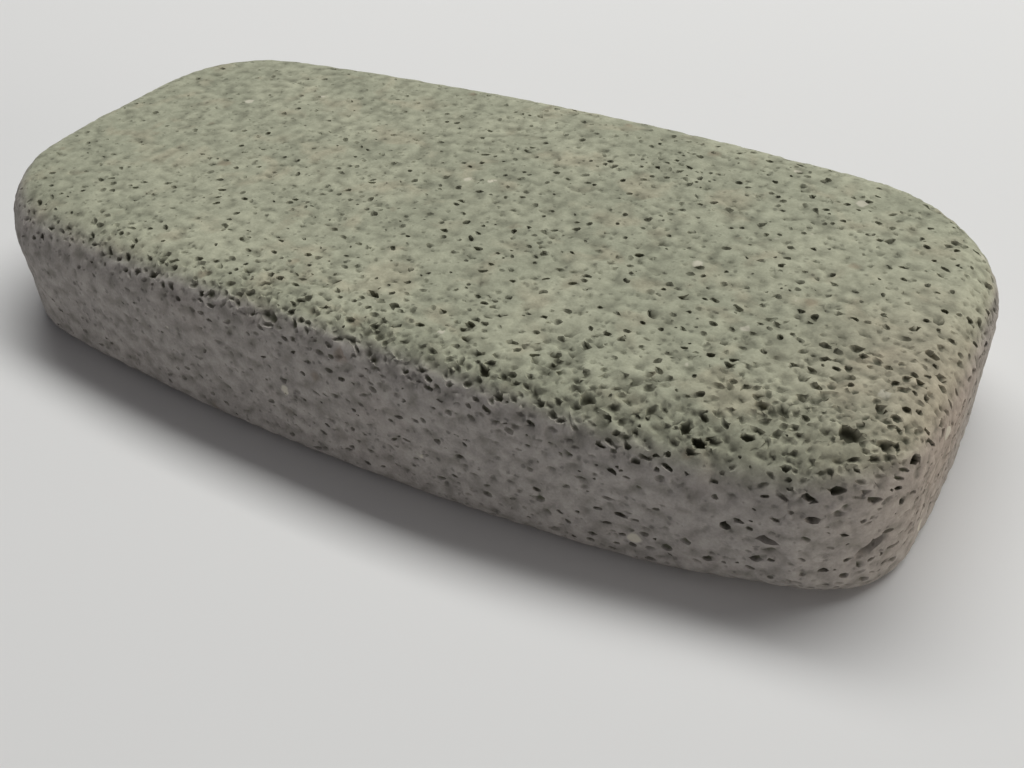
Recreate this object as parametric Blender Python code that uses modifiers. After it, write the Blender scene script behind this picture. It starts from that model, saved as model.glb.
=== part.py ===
"""A pumice foot stone: one bar of pumice, cut to shape, worn round at its rims and full of bubble pits.

Lengths are in metres and +Z is up. X runs along the bar, Y across it, and the origin is the middle of the
bounding box of the flat underside, on which the stone rests. -Y is the front.
"""

import math
from dataclasses import dataclass

import bmesh
import bpy
import numpy as np
from mathutils import Matrix, Vector

MM = 0.001
TINY = 1e-9  # keeps a division from zero
WELD = 0.01 * MM  # points closer than this are one

# the bar
LENGTH = 100.0 * MM
WIDTH = 50.8 * MM
HEIGHT = 14.5 * MM
SIDE_BULGE = 4.4 * MM  # how far each long side bows out at its middle
END_BULGE = 1.6 * MM  # the same for the two ends
CORNER_RADII = {  # in plan, by the signs of x and y: the bar was rounded by hand, so no two are alike
    (1, 1): 14.0 * MM,
    (-1, 1): 10.5 * MM,
    (-1, -1): 12.5 * MM,
    (1, -1): 7.5 * MM,
}
TOP_ROUNDING = 4.0 * MM
FOOT_ROUNDING = 1.2 * MM
STRAIGHT_HALF_LENGTH = LENGTH / 2 - END_BULGE
STRAIGHT_HALF_WIDTH = WIDTH / 2 - SIDE_BULGE
CORNER_STEPS = 7
SIDE_STEPS = 8
END_STEPS = 4
ROUNDING_STEPS = 4
RIM_ANGLE = math.radians(60)  # an edge that turns by more than this is a rim
UNBULGE_PASSES = 8

# the pits
PIT_SEED = 417
PIT_TRIES = 60000
PIT_TIERS = (  # (count, least radius, greatest radius, sides, radius of the floor over that of the rim)
    (120, 0.50 * MM, 0.95 * MM, (5, 6, 7), 0.5),
    (350, 0.36 * MM, 0.52 * MM, (4, 5), 0.0),
)
PIT_SIZE_POWER = 1.8  # above 1, small pits outnumber large ones
PIT_STRETCH = (1.0, 1.7)  # length over width
PIT_DEPTH_SHARE = (0.75, 1.1)  # depth over mean radius
PIT_GAP = 0.25 * MM  # least wall left between two pits
PIT_RAGGEDNESS = 0.16
CUTTER_RISE = 0.35 * MM  # how far a cutter stands out of the stone
RESTING_PATCH = 7.0 * MM  # radius of the unpitted middle of the underside
FOOT_MARGIN = 1.2 * MM  # least height of a pit's lower end on the walls
UNDERSIDE_SHARE = 0.3  # share of the pits of the two flat faces that the underside gets
EVEN_SHARE = 0.5  # the same for the front and back walls, and for the two ends
FACING_DOWN = -0.99  # a direction whose z is under this is the underside's

# the largest pits, one by one: middle (x, y, z), length, width and turn about the outward direction
LARGE_PITS = (
    ((47.0, -18.5, 5.6), 2.6, 1.4, 35),
    ((43.8, -16.9, 14.5), 1.9, 1.3, 10),
    ((46.5, -16.4, 13.9), 1.1, 1.0, 0),
    ((48.6, -15.1, 12.3), 1.0, 0.9, 40),
    ((40.4, -22.3, 6.5), 2.0, 0.8, -8),
    ((43.2, -21.5, 9.2), 1.5, 0.8, 0),
    ((37.3, -22.8, 6.9), 1.1, 0.9, 15),
    ((44.5, -20.6, 11.8), 1.3, 0.8, 35),
    ((25.2, -21.9, 14.0), 1.4, 1.0, 0),
    ((37.2, -17.0, 14.5), 1.2, 1.1, 20),
    ((32.8, -21.2, 14.0), 1.1, 1.0, 50),
    ((34.0, -22.0, 13.3), 1.1, 1.0, 0),
    ((16.7, -22.6, 13.9), 1.3, 1.0, -20),
    ((3.0, -18.9, 14.5), 1.6, 1.0, -10),
    ((46.6, -5.4, 14.4), 1.5, 0.9, -15),
    ((39.5, -14.7, 14.5), 1.1, 1.0, 30),
)
LARGE_PIT_DEPTH = 0.9 * MM
LARGE_PIT_SIDES = 7
LARGE_PIT_FLOOR = 0.55

STONE_COLOUR = (0.33, 0.33, 0.27, 1.0)
STONE_ROUGHNESS = 0.95


@dataclass
class Pit:
    place: np.ndarray  # its middle, on the unpitted surface
    direction: np.ndarray  # outwards
    half_length: float
    half_width: float
    depth: float
    turn: float  # of its length about the direction
    sides: int
    floor: float  # radius of its floor over that of its rim


def clear_scene():
    for thing in list(bpy.data.objects):
        bpy.data.objects.remove(thing, do_unlink=True)


def make_collection(name, in_render=True):
    collection = bpy.data.collections.new(name)
    collection.hide_render = not in_render
    bpy.context.scene.collection.children.link(collection)
    return collection


def make_material(name, colour, roughness):
    material = bpy.data.materials.new(name)
    material.use_nodes = True
    shader = material.node_tree.nodes["Principled BSDF"]
    shader.inputs["Base Color"].default_value = colour
    shader.inputs["Roughness"].default_value = roughness
    shader.inputs["Metallic"].default_value = 0.0
    return material


def bulged(x, y):
    """Bows the straight-sided plan out, most at the middle of each side."""
    along = (x / STRAIGHT_HALF_LENGTH) ** 2
    across = (y / STRAIGHT_HALF_WIDTH) ** 2
    return (
        x * (1 + END_BULGE / STRAIGHT_HALF_LENGTH * (1 - across)),
        y * (1 + SIDE_BULGE / STRAIGHT_HALF_WIDTH * (1 - along)),
    )


def unbulged(x, y):
    """The straight-sided plan point that bulged() sends to (x, y), by repeated correction."""
    flat_x, flat_y = x, y
    for _ in range(UNBULGE_PASSES):
        along = np.minimum((flat_x / STRAIGHT_HALF_LENGTH) ** 2, 1)
        across = np.minimum((flat_y / STRAIGHT_HALF_WIDTH) ** 2, 1)
        flat_x = x / (1 + END_BULGE / STRAIGHT_HALF_LENGTH * (1 - across))
        flat_y = y / (1 + SIDE_BULGE / STRAIGHT_HALF_WIDTH * (1 - along))
    return flat_x, flat_y


def plan_outline():
    """The plan outline, anticlockwise: four corner arcs joined by evenly divided sides, then bulged."""
    arcs = []
    for quarter, signs in enumerate(((1, 1), (-1, 1), (-1, -1), (1, -1))):
        radius = CORNER_RADII[signs]
        centre_x = signs[0] * (STRAIGHT_HALF_LENGTH - radius)
        centre_y = signs[1] * (STRAIGHT_HALF_WIDTH - radius)
        turns = [math.pi / 2 * (quarter + step / CORNER_STEPS) for step in range(CORNER_STEPS + 1)]
        arcs.append([(centre_x + radius * math.cos(t), centre_y + radius * math.sin(t)) for t in turns])
    points = []
    for index, arc in enumerate(arcs):
        points += arc
        start, end = Vector(arc[-1]), Vector(arcs[(index + 1) % len(arcs)][0])
        steps = SIDE_STEPS if index % 2 == 0 else END_STEPS
        points += [tuple(start.lerp(end, step / steps)) for step in range(1, steps)]
    return [bulged(x, y) for x, y in points]


def outline_mesh():
    """The outline as a filled 2D curve, extruded to the bar's height and made a closed mesh."""
    points = plan_outline()
    curve = bpy.data.curves.new("bar_outline", "CURVE")
    curve.dimensions = "2D"
    curve.fill_mode = "BOTH"
    curve.extrude = HEIGHT / 2
    spline = curve.splines.new("POLY")
    spline.points.add(len(points) - 1)
    for point, (x, y) in zip(spline.points, points):
        point.co = (x, y, 0, 1)
    spline.use_cyclic_u = True
    drawn = bpy.data.objects.new("bar_outline", curve)
    bpy.context.scene.collection.objects.link(drawn)
    graph = bpy.context.evaluated_depsgraph_get()
    mesh = bpy.data.meshes.new_from_object(drawn.evaluated_get(graph))
    bpy.data.objects.remove(drawn, do_unlink=True)
    mesh.transform(Matrix.Translation((0, 0, HEIGHT / 2)))
    return mesh


def prepare_rims(mesh):
    """Welds the caps to the sides, makes each cap one face, and weights both rims by their roundings."""
    bm = bmesh.new()
    bm.from_mesh(mesh)
    bmesh.ops.remove_doubles(bm, verts=bm.verts, dist=WELD)
    bm.normal_update()
    for level in (0, HEIGHT):
        cap = [face for face in bm.faces if all(abs(vert.co.z - level) < WELD for vert in face.verts)]
        bmesh.ops.dissolve_faces(bm, faces=cap)
    weight = bm.edges.layers.float.new("bevel_weight_edge")
    for edge in bm.edges:
        is_rim = len(edge.link_faces) == 2 and edge.calc_face_angle() > RIM_ANGLE
        if is_rim and all(vert.co.z > HEIGHT / 2 for vert in edge.verts):
            edge[weight] = 1.0
        elif is_rim and all(vert.co.z < HEIGHT / 2 for vert in edge.verts):
            edge[weight] = FOOT_ROUNDING / TOP_ROUNDING
    bmesh.ops.recalc_face_normals(bm, faces=bm.faces)
    bm.to_mesh(mesh)
    bm.free()


def onto_stone(points):
    """The places on the unpitted surface nearest to some points, and the outward directions there."""
    flat_x, flat_y = unbulged(points[:, 0], points[:, 1])
    radius = np.empty(len(points))
    for (sign_x, sign_y), corner in CORNER_RADII.items():
        radius[((flat_x >= 0) == (sign_x > 0)) & ((flat_y >= 0) == (sign_y > 0))] = corner
    core_x, core_y = STRAIGHT_HALF_LENGTH - radius, STRAIGHT_HALF_WIDTH - radius
    out_x, out_y = np.maximum(abs(flat_x) - core_x, 0), np.maximum(abs(flat_y) - core_y, 0)
    reach = np.maximum(np.hypot(out_x, out_y), TINY)
    wall, z, wall_way, z_way = nearest_on_profile(reach - radius, points[:, 2])
    scale = (radius + wall) / reach
    x = np.sign(flat_x) * (np.minimum(abs(flat_x), core_x) + out_x * scale)
    y = np.sign(flat_y) * (np.minimum(abs(flat_y), core_y) + out_y * scale)
    way_x = np.sign(flat_x) * out_x / reach * wall_way
    way_y = np.sign(flat_y) * out_y / reach * wall_way
    places = np.column_stack([*bulged(x, y), z])
    directions = np.column_stack([*bulged_direction(x, y, way_x, way_y), z_way])
    return places, directions / np.linalg.norm(directions, axis=1, keepdims=True)


def bulged_direction(x, y, way_x, way_y):
    """An outward direction's plan part after the bulge: the inverse transpose of its slopes."""
    x_by_x = 1 + END_BULGE / STRAIGHT_HALF_LENGTH * (1 - (y / STRAIGHT_HALF_WIDTH) ** 2)
    y_by_y = 1 + SIDE_BULGE / STRAIGHT_HALF_WIDTH * (1 - (x / STRAIGHT_HALF_LENGTH) ** 2)
    x_by_y = -2 * x * y * END_BULGE / STRAIGHT_HALF_LENGTH / STRAIGHT_HALF_WIDTH**2
    y_by_x = -2 * x * y * SIDE_BULGE / STRAIGHT_HALF_WIDTH / STRAIGHT_HALF_LENGTH**2
    spread = x_by_x * y_by_y - x_by_y * y_by_x
    return (y_by_y * way_x - y_by_x * way_y) / spread, (x_by_x * way_y - x_by_y * way_x) / spread


def nearest_on_profile(wall, z):
    """The nearest place and direction on the profile: a straight wall with a round rim and a round foot.

    wall is the distance out from the straight wall, negative inside.
    """
    rim_wall, rim_z = wall + TOP_ROUNDING, z - (HEIGHT - TOP_ROUNDING)
    foot_wall, foot_z = wall + FOOT_ROUNDING, z - FOOT_ROUNDING
    rim_reach = np.maximum(np.hypot(rim_wall, rim_z), TINY)
    foot_reach = np.maximum(np.hypot(foot_wall, foot_z), TINY)
    to_top, to_base, to_wall = abs(HEIGHT - z), abs(z), abs(wall)
    on_rim = (rim_wall > 0) & (rim_z > 0)
    on_foot = (foot_wall > 0) & (foot_z < 0)
    on_wall = (to_wall <= to_top) & (to_wall <= to_base)
    on_top = to_top <= to_base
    cases = [on_rim, on_foot, on_wall, on_top]

    wall_way = np.select(cases, [rim_wall / rim_reach, foot_wall / foot_reach, 1, 0], 0)
    z_way = np.select(cases, [rim_z / rim_reach, foot_z / foot_reach, 0, 1], -1)
    rim_at, rim_level = (wall_way - 1) * TOP_ROUNDING, HEIGHT + (z_way - 1) * TOP_ROUNDING
    foot_at, foot_level = (wall_way - 1) * FOOT_ROUNDING, (z_way + 1) * FOOT_ROUNDING
    new_wall = np.select(cases, [rim_at, foot_at, 0, wall], wall)
    new_z = np.select(cases, [rim_level, foot_level, z, HEIGHT], 0)
    return new_wall, new_z, wall_way, z_way


def random_surface_points(rng, count):
    """Random places over the bar and their directions: drawn on its bounding box, then moved onto it."""
    areas = np.array([LENGTH * WIDTH, LENGTH * HEIGHT, WIDTH * HEIGHT])
    face = rng.choice(3, size=count, p=areas / areas.sum())
    points = (rng.random((count, 3)) - 0.5) * [LENGTH, WIDTH, HEIGHT]
    far_side = rng.random(count)
    face_pairs = ((2, HEIGHT, UNDERSIDE_SHARE), (1, WIDTH, EVEN_SHARE), (0, LENGTH, EVEN_SHARE))
    for index, (axis, extent, low_share) in enumerate(face_pairs):
        chosen = face == index
        points[chosen, axis] = np.where(far_side[chosen] < low_share, -extent, extent) / 2
    points[:, 2] += HEIGHT / 2
    return onto_stone(points)


def large_pits():
    places, directions = onto_stone(np.array([middle for middle, *_ in LARGE_PITS]) * MM)
    pits = []
    for place, direction, (_, length, width, turn) in zip(places, directions, LARGE_PITS):
        size = (length / 2 * MM, width / 2 * MM, LARGE_PIT_DEPTH)
        pits.append(Pit(place, direction, *size, math.radians(turn), LARGE_PIT_SIDES, LARGE_PIT_FLOOR))
    return pits


def random_pit(rng, place, direction, tier):
    _, low, high, sides, floor = tier
    size, stretch, deep, turn = rng.random(4)
    radius = low + (high - low) * size**PIT_SIZE_POWER
    stretched = math.sqrt(PIT_STRETCH[0] + (PIT_STRETCH[1] - PIT_STRETCH[0]) * stretch)
    depth = radius * (PIT_DEPTH_SHARE[0] + (PIT_DEPTH_SHARE[1] - PIT_DEPTH_SHARE[0]) * deep)
    shape = (radius * stretched, radius / stretched, depth)
    return Pit(place, direction, *shape, turn * math.pi, int(rng.choice(sides)), floor)


def scatter_pits(rng):
    """The large pits, then random ones in each tier, none touching another."""
    pits = large_pits()
    for tier in PIT_TIERS:
        wanted = len(pits) + tier[0]
        for place, direction in zip(*random_surface_points(rng, PIT_TRIES)):
            pit = random_pit(rng, place, direction, tier)
            if is_free(pit, pits):
                pits.append(pit)
            if len(pits) == wanted:
                break
    return pits


def is_free(pit, others):
    """Whether a pit clears the other pits, and the resting patch or the foot of the walls."""
    if pit.direction[2] < FACING_DOWN:
        off_the_rest = math.hypot(*pit.place[:2]) > RESTING_PATCH + pit.half_length
    else:
        off_the_rest = pit.place[2] > FOOT_MARGIN + pit.half_length
    gaps = [math.dist(pit.place, other.place) - other.half_length for other in others]
    return bool(off_the_rest) and min(gaps) > pit.half_length + PIT_GAP


def add_bubble(bm, rng, pit):
    """Adds one pit's cutter: a ragged tapered cup, or a point for the smallest, square on the surface."""
    cup = bmesh.ops.create_cone(
        bm,
        cap_ends=True,
        segments=pit.sides,
        radius1=pit.floor,
        radius2=1 + (1 - pit.floor) / pit.depth * CUTTER_RISE,
        depth=pit.depth + CUTTER_RISE,
        matrix=Matrix.Translation((0, 0, (CUTTER_RISE - pit.depth) / 2)),
    )
    for vert in cup["verts"]:
        ragged = 1 + PIT_RAGGEDNESS * (2 * rng.random() - 1)
        vert.co.x *= pit.half_length * ragged
        vert.co.y *= pit.half_width * ragged
    seat = Vector(pit.direction).to_track_quat("Z", "Y").to_matrix().to_4x4()
    seating = Matrix.Translation(pit.place) @ seat @ Matrix.Rotation(pit.turn, 4, "Z")
    bmesh.ops.transform(bm, matrix=seating, verts=cup["verts"])


def make_pit_cutter(collection):
    rng = np.random.default_rng(PIT_SEED)
    bm = bmesh.new()
    for pit in scatter_pits(rng):
        add_bubble(bm, rng, pit)
    bmesh.ops.recalc_face_normals(bm, faces=bm.faces)
    mesh = bpy.data.meshes.new("bubble_pits")
    bm.to_mesh(mesh)
    bm.free()
    cutter = bpy.data.objects.new("bubble_pits", mesh)
    cutter.hide_render = True
    cutter.display_type = "WIRE"
    collection.objects.link(cutter)
    return cutter


def make_stone(collection, cutter):
    """The stone: rounded where it is smooth, and cut by the pits, whose facets stay flat."""
    mesh = outline_mesh()
    prepare_rims(mesh)
    mesh.shade_smooth()
    mesh.materials.clear()
    mesh.materials.append(make_material("pumice", STONE_COLOUR, STONE_ROUGHNESS))
    stone = bpy.data.objects.new("pumice_stone", mesh)
    collection.objects.link(stone)

    rounding = stone.modifiers.new("worn_rims", "BEVEL")
    rounding.limit_method = "WEIGHT"
    rounding.width = TOP_ROUNDING
    rounding.segments = ROUNDING_STEPS
    rounding.use_clamp_overlap = False

    pitting = stone.modifiers.new("bubble_pits", "BOOLEAN")
    pitting.operation = "DIFFERENCE"
    pitting.solver = "EXACT"
    pitting.object = cutter
    return stone


def main():
    clear_scene()
    parts = make_collection("pumice_stone")
    cutters = make_collection("cutters", in_render=False)
    make_stone(parts, make_pit_cutter(cutters))


main()
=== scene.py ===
import math

import bpy
import numpy as np
from mathutils import Matrix, Vector
from mathutils.geometry import delaunay_2d_cdt


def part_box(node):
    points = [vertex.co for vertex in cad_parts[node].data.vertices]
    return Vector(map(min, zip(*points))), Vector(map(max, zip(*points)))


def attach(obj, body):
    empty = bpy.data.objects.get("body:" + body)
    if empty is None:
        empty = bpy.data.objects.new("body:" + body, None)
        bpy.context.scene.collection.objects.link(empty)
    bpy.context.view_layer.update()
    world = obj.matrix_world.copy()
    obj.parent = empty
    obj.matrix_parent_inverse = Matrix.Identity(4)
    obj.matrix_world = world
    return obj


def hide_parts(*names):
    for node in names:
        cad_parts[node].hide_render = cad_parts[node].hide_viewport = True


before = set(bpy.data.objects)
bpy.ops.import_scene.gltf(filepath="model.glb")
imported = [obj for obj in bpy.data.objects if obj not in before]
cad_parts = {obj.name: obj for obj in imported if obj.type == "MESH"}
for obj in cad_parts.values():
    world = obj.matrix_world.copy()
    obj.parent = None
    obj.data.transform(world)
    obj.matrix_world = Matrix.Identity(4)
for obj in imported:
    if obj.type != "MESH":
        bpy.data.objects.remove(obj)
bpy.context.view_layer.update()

# Shapes are worked out in millimetres and written into the mesh in metres.
millimetre = 0.001
quarterTurn = math.pi / 2
fullTurn = 4 * quarterTurn
eighthTurn = math.pi / 4
tiny = 1e-9

lowCorner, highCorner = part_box("pumice_stone")
stoneSize = [(high - low) / millimetre for low, high in zip(lowCorner, highCorner)]

bar = {
    "sideBulge": 4.4,  # how far the long sides bow out
    "endBulge": 1.6,
    "unbowPasses": 8,
    "cornerRadii": {(1, 1): 14.0, (-1, 1): 10.5, (-1, -1): 12.5, (1, -1): 7.5},  # by the signs of x and y
    "rim": 4.0,  # the rounding of the upper rim
    "rimChanges": (  # middle in plan, reach, change
        ((-4.0, -25.0), 19.0, -1.5),
        ((37.0, -22.0), 11.0, 3.0),
        ((-36.0, -21.0), 13.0, 1.8),
    ),
    "foot": 1.2,  # the rounding of the lower
    "footChanges": (((42.0, -21.0), 6.0, 2.2),),
}
barHeight = stoneSize[2]
halfLength = stoneSize[0] / 2 - bar["endBulge"]
halfWidth = stoneSize[1] / 2 - bar["sideBulge"]


# A share that rises from 0 to 1 between two values without corners: 3 times its square less 2 times its
# cube.
def smooth(value, low, high):
    share = np.clip((value - low) / (high - low), 0, 1)
    return share * share * (3 - 2 * share)


# The value at a share of the way from the first limit to the second.
def between(limits, share):
    return limits[0] + (limits[1] - limits[0]) * share


# A straight line's value: its start and its growth times the share.
def grown(line, share):
    return line[0] + line[1] * share


# A bell curve: e to the power of minus the square of distance over reach.
def bell(distance, reach):
    return np.exp(-((distance / reach) ** 2))


# Vectors over their lengths.
def unit(vectors):
    return vectors / np.linalg.norm(vectors, axis=-1, keepdims=True)


# The radius of the plan's corner in each place's quarter. The plan is a rounded rectangle before it is
# bowed.
def cornerRadius(x, y):
    radius = np.empty(len(x))
    for (signX, signY), corner in bar["cornerRadii"].items():
        radius[((x >= 0) == (signX > 0)) & ((y >= 0) == (signY > 0))] = corner
    return radius


# How much the bow lengthens x and y: 1 and a share that falls from the middle of a side to its ends, 1 -
# square.
def growths(x, y):
    return (
        1 + bar["endBulge"] / halfLength * (1 - (y / halfWidth) ** 2),
        1 + bar["sideBulge"] / halfWidth * (1 - (x / halfLength) ** 2),
    )


# Bows the plan: each coordinate times its growth.
def bowed(x, y):
    growX, growY = growths(x, y)
    return x * growX, y * growY


# The inverse of bowed, found by dividing by the growths of the last pass's places, held to the plan.
def unbowed(x, y):
    flatX, flatY = x, y
    for _ in range(bar["unbowPasses"]):
        heldX, heldY = np.clip(flatX, -halfLength, halfLength), np.clip(flatY, -halfWidth, halfWidth)
        growX, growY = growths(heldX, heldY)
        flatX, flatY = x / growX, y / growY
    return flatX, flatY


# How far the bowed bar's end and side are from its middle, level with a place.
def bowedEdges(x, y):
    endX = halfLength + bar["endBulge"] * (1 - (y / halfWidth) ** 2)
    sideY = halfWidth + bar["sideBulge"] * (1 - (x / halfLength) ** 2)
    return endX, sideY


# The corner radius at a place of the plan, the core inside the corner arcs, and the place's part beyond
# the core: along x and y, and its length.
def beyondCore(x, y):
    radius = cornerRadius(x, y)
    core = halfLength - radius, halfWidth - radius
    over = np.maximum(abs(x) - core[0], 0), np.maximum(abs(y) - core[1], 0)
    return radius, core, over, np.maximum(np.hypot(*over), tiny)


# A place of the plan with its part beyond the core scaled.
def scaledBeyond(x, y, core, over, scale):
    return (
        np.sign(x) * (np.minimum(abs(x), core[0]) + over[0] * scale),
        np.sign(y) * (np.minimum(abs(y), core[1]) + over[1] * scale),
    )


# The rounding of the rim or the foot, read where the outline is straight out from a place of the plan:
# its own value and a bell curve for each change.
def rounding(edge, x, y):
    radius, core, over, length = beyondCore(x, y)
    x, y = scaledBeyond(x, y, core, over, radius / length)
    value = np.full(np.shape(x), bar[edge])
    for (middleX, middleY), reach, change in bar[edge + "Changes"]:
        value += change * np.exp(-((x - middleX) ** 2 + (y - middleY) ** 2) / reach**2)
    return value


# The outline as nine stretches in turn, from the middle of the back side anticlockwise: straights and
# corner arcs. Each has the distance where it starts, its length, its start or an arc's middle, and the
# way it faces.
def outlineStretches():
    stretches = []
    back = place = np.array([0.0, halfWidth])
    start = 0.0
    for turn, signs in enumerate(((-1, 1), (-1, -1), (1, -1), (1, 1))):
        radius = bar["cornerRadii"][signs]
        middle = np.array([signs[0] * (halfLength - radius), signs[1] * (halfWidth - radius)])
        angle = quarterTurn * (turn + 1)
        arcStart = middle + radius * np.array([math.cos(angle), math.sin(angle)])
        run = float(np.linalg.norm(arcStart - place))
        stretches.append({"start": start, "run": run, "from": place, "angle": angle, "radius": 0.0})
        start += run
        run = radius * quarterTurn
        arc = {"start": start, "run": run, "from": middle, "angle": angle, "radius": radius, "signs": signs}
        stretches.append(arc)
        start += run
        angle += quarterTurn
        place = middle + radius * np.array([math.cos(angle), math.sin(angle)])
    run = float(np.linalg.norm(back - place))
    stretches.append({"start": start, "run": run, "from": place, "angle": quarterTurn, "radius": 0.0})
    return stretches, start + run


stretches, girth = outlineStretches()
stretchStart, stretchFrom, stretchAngle, stretchRadius = (
    np.array([part[name] for part in stretches]) for name in ("start", "from", "angle", "radius")
)


# The outline at a distance round it: on a straight, from its start along its heading; on an arc, about
# its middle. Gives the places and the ways out.
def outlineAt(around):
    around = np.mod(around, girth)
    index = np.clip(np.searchsorted(stretchStart, around, side="right") - 1, 0, len(stretches) - 1)
    run = around - stretchStart[index]
    radius = stretchRadius[index]
    onArc = radius > 0
    angle = stretchAngle[index] + np.where(onArc, run / np.maximum(radius, tiny), 0)
    outX, outY = np.cos(angle), np.sin(angle)
    straightRun = np.where(onArc, 0, run)
    x = stretchFrom[index, 0] + radius * outX - outY * straightRun
    y = stretchFrom[index, 1] + radius * outY + outX * straightRun
    return x, y, outX, outY


# The inverse of outlineAt, for places beyond the core of the plan: on an arc, the turn from its start
# times its radius; on a straight, the distance along it.
def aroundOf(x, y):
    radius = cornerRadius(x, y)
    overX, overY = abs(x) - (halfLength - radius), abs(y) - (halfWidth - radius)
    around = np.zeros(len(x))
    for part in stretches:
        fromX, fromY = part["from"]
        if part["radius"] > 0:
            signX, signY = part["signs"]
            mine = (x * signX >= 0) & (y * signY >= 0) & (overX > 0) & (overY > 0)
            angle = np.arctan2(y[mine] - fromY, x[mine] - fromX)
            turned = np.mod(angle - part["angle"] + eighthTurn, fullTurn)
            around[mine] = part["start"] + turned * part["radius"] - eighthTurn * part["radius"]
        else:
            outX, outY = math.cos(part["angle"]), math.sin(part["angle"])
            along = (y - fromY) * outX - (x - fromX) * outY
            if abs(outY) > abs(outX):
                facing = (overY > overX) & (y * outY > 0)
            else:
                facing = (overX >= overY) & (x * outX > 0)
            mine = facing & (along >= 0) & (along <= part["run"])
            around[mine] = part["start"] + along[mine]
    return around


# The three charts that the surface is worked out on: the top out to halfway round its rim, the wall from
# there to halfway round the foot, and the base. On the top and base, chart coordinates are a place of the
# plan, measured round the rounding; on the wall, they are the distance round the outline and the distance
# down.
topChart, wallChart, baseChart = 0, 1, 2


# The lengths that the wall chart runs down: an eighth of a turn of the rim, the upright, an eighth of the
# foot.
def wallLengths(rim, foot):
    return rim * eighthTurn, barHeight - rim - foot, foot * eighthTurn


wallSpan = sum(wallLengths(bar["rim"], bar["foot"]))


# The wall chart's surface and ways out: on a rounding, its middle and its radius times the angle's sine
# and cosine; between the two, straight down.
def wallSurface(around, down):
    x, y, outX, outY = outlineAt(around)
    rim, foot = rounding("rim", x, y), rounding("foot", x, y)
    rimArc, wall, footArc = wallLengths(rim, foot)
    run = down / wallSpan * (rimArc + wall + footArc)
    rimAngle = eighthTurn + np.minimum(run, rimArc) / rim
    footAngle = np.maximum(run - rimArc - wall, 0) / foot
    cases = [run < rimArc, run > rimArc + wall]
    out = np.select(cases, [(np.sin(rimAngle) - 1) * rim, (np.cos(footAngle) - 1) * foot], 0)
    rimZ, footZ = barHeight - rim + rim * np.cos(rimAngle), foot - foot * np.sin(footAngle)
    z = np.select(cases, [rimZ, footZ], barHeight - rim - run + rimArc)
    way = np.select(cases, [np.sin(rimAngle), np.cos(footAngle)], 1)
    wayZ = np.select(cases, [np.cos(rimAngle), -np.sin(footAngle)], 0)
    return x + outX * out, y + outY * out, z, outX * way, outY * way, wayZ


# The top or base chart's surface and ways out: flat, and past the flat's edge the radius times the
# angle's sine out and 1 less its cosine down.
def flatSurface(u, v, edge):
    radius, core, over, length = beyondCore(u, v)
    wall = length - radius
    angle = np.maximum(wall + edge, 0) / edge
    newWall = np.where(angle > 0, (np.sin(angle) - 1) * edge, wall)
    x, y = scaledBeyond(u, v, core, over, (radius + newWall) / length)
    sunk = (1 - np.cos(angle)) * edge
    wayX, wayY = (np.sign(place) * part / length * np.sin(angle) for place, part in zip((u, v), over))
    return x, y, sunk, wayX, wayY, np.cos(angle)


# An outward direction after the plan is bowed: the inverse transpose of the bow's slopes.
def bowedWay(x, y, wayX, wayY, wayZ):
    xByX, yByY = growths(x, y)
    xByY = -2 * x * y * bar["endBulge"] / halfLength / halfWidth**2
    yByX = -2 * x * y * bar["sideBulge"] / halfWidth / halfLength**2
    spread = xByX * yByY - xByY * yByX
    bowedX = (yByY * wayX - yByX * wayY) / spread
    bowedY = (xByX * wayY - xByY * wayX) / spread
    return unit(np.column_stack([bowedX, bowedY, wayZ]))


# The unpitted surface, by each chart's own formula and then bowed: places and outward directions.
def surfaceAt(chart, u, v):
    values = np.zeros((6, len(u)))
    onTop, onWall, onBase = (chart == index for index in (topChart, wallChart, baseChart))
    values[:, onTop] = flatSurface(u[onTop], v[onTop], rounding("rim", u[onTop], v[onTop]))
    values[2, onTop] = barHeight - values[2, onTop]
    values[:, onWall] = wallSurface(u[onWall], v[onWall])
    values[:, onBase] = flatSurface(u[onBase], v[onBase], rounding("foot", u[onBase], v[onBase]))
    values[5, onBase] *= -1
    x, y, z, wayX, wayY, wayZ = values
    return np.column_stack([*bowed(x, y), z]), bowedWay(x, y, wayX, wayY, wayZ)


# The inverse of surfaceAt, for the surface's place nearest to each point: angles about the roundings'
# middles, and elsewhere the side that is nearest.
def chartsOf(points):
    x, y = unbowed(points[:, 0], points[:, 1])
    z = points[:, 2]
    rim, foot = rounding("rim", x, y), rounding("foot", x, y)
    radius, core, over, length = beyondCore(x, y)
    wall = length - radius
    rimAngle = np.arctan2(wall + rim, z - (barHeight - rim))
    footAngle = np.arctan2(foot - z, wall + foot)
    onRim = (wall > -rim) & (z > barHeight - rim)
    onFoot = (wall > -foot) & (z < foot)
    isPlain = ~onRim & ~onFoot
    onWall = isPlain & (abs(wall) <= abs(barHeight - z)) & (abs(wall) <= abs(z))
    onTop = isPlain & ~onWall & (barHeight - z <= z)
    toWall = onWall | (onRim & (rimAngle >= eighthTurn)) | (onFoot & (footAngle < eighthTurn))
    chart = np.select([toWall, onTop | onRim], [wallChart, topChart], baseChart)
    rimWall, footWall = (rimAngle - 1) * rim, (quarterTurn - footAngle - 1) * foot
    planWall = np.select([onRim, onFoot], [rimWall, footWall], wall)
    u, v = scaledBeyond(x, y, core, over, (radius + planWall) / length)
    rimArc, upright, footArc = wallLengths(rim, foot)
    rimRun, footRun = (rimAngle - eighthTurn) * rim, rimArc + upright + footAngle * foot
    run = np.select([onRim, onFoot], [rimRun, footRun], rimArc + barHeight - rim - z)
    down = run / (rimArc + upright + footArc) * wallSpan
    u[toWall] = aroundOf(x[toWall], y[toWall])
    v[toWall] = down[toWall]
    return chart, u, v


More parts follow.
